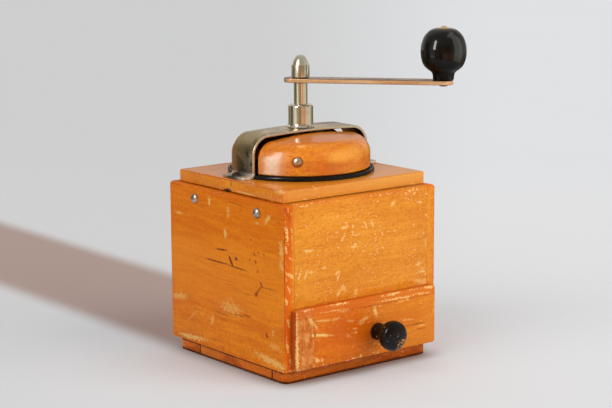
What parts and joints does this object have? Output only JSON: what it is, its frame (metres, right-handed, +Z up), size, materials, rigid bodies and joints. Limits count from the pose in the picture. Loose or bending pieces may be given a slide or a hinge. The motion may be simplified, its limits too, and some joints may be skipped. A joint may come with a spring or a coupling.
{
  "type": "coffee grinder",
  "caption": "Wooden box coffee grinder with a turning wooden dome over its hopper, a steel bridge, a crank with a black knob on top and a drawer at the front.",
  "frame": {"origin": "under the middle of the box, on the surface that the grinder stands on", "axes": "+Z up along the crank's shaft, -Y toward the drawer's side, +X to the right as seen from the drawer's side"},
  "size_m": [0.1451, 0.1592, 0.2264],
  "materials": {
    "varnished_beech": "glossy amber varnish, worn",
    "raw_beech": "bare wood",
    "black_lacquer": "glossy black lacquer on turned wood",
    "black_enamel": "glossy black enamel on sheet steel",
    "aged_nickel": "nickel-plated steel, dulled and stained",
    "bright_nickel": "polished nickel plate",
    "screw_steel": "plain steel, slightly dull",
    "cast_iron": "bare grey iron"
  },
  "bodies": {
    "case": {"base_panel": "varnished_beech", "base_front_batten": "varnished_beech", "base_rear_batten": "varnished_beech", "left_board": "varnished_beech", "right_board": "varnished_beech", "front_board": "varnished_beech", "rear_board": "varnished_beech", "floor_board": "raw_beech", "partition_board": "raw_beech", "top_board": "varnished_beech", "left_cleat": "raw_beech", "right_cleat": "raw_beech", "left_front_screw": "screw_steel", "left_rear_screw": "screw_steel", "right_front_screw": "screw_steel", "right_rear_screw": "screw_steel", "hopper_bowl": "black_enamel", "bridge_strap": "aged_nickel", "left_strap_screw": "screw_steel", "right_strap_screw": "screw_steel", "bearing_collar": "bright_nickel", "outer_burr": "cast_iron", "burr_screw_1": "screw_steel", "burr_screw_2": "screw_steel", "burr_screw_3": "screw_steel", "burr_saddle": "cast_iron", "left_saddle_screw": "screw_steel", "right_saddle_screw": "screw_steel"},
    "dome": {"dome_ring": "black_enamel", "front_dome_shell": "varnished_beech", "rear_dome_shell": "varnished_beech", "dome_button": "bright_nickel", "dome_screw_1": "screw_steel", "dome_screw_2": "screw_steel", "dome_screw_3": "screw_steel", "dome_screw_4": "screw_steel"},
    "drawer": {"drawer_front": "varnished_beech", "drawer_left_side": "raw_beech", "drawer_right_side": "raw_beech", "drawer_back": "raw_beech", "drawer_bottom": "raw_beech", "drawer_knob": "black_lacquer", "drawer_knob_screw": "screw_steel"},
    "adjuster_nut": {"setting_nut": "screw_steel"},
    "adjuster_screw": {"setting_screw": "screw_steel"},
    "crank": {"crank_shaft": "bright_nickel", "crank_arm": "bright_nickel", "acorn_nut": "bright_nickel", "knob_spindle": "bright_nickel", "inner_burr": "cast_iron"},
    "grip": {"crank_knob": "black_lacquer"}
  },
  "joints": [
    {"name": "drawer_slide", "type": "slide", "parent": "case", "child": "drawer", "axis": [0, -1, 0], "range_m": [0, 0.105]},
    {"name": "dome_turn", "type": "hinge", "parent": "case", "child": "dome", "pos_m": [0, 0, 0.1304], "axis": [0, 0, 1], "range_deg": [-30, 110]},
    {"name": "setting_nut_turn", "type": "hinge", "parent": "case", "child": "adjuster_nut", "pos_m": [0, 0, 0.0553], "axis": [0, 0, 1], "range_deg": [-182, 182]},
    {"name": "setting_slide", "type": "slide", "parent": "case", "child": "adjuster_screw", "axis": [0, 0, 1], "range_m": [-0.0005, 0.0005]},
    {"name": "crank_turn", "type": "hinge", "parent": "adjuster_screw", "child": "crank", "pos_m": [0, 0, 0.165], "axis": [0, 0, 1], "continuous": true},
    {"name": "knob_spin", "type": "hinge", "parent": "crank", "child": "grip", "pos_m": [0.06235, -0.07431, 0.2086], "axis": [0, 0, 1], "continuous": true}
  ],
  "couplings": [
    {"joint": "setting_nut_turn", "follows": "setting_slide", "rad_per_m": -6283.2}
  ]
}
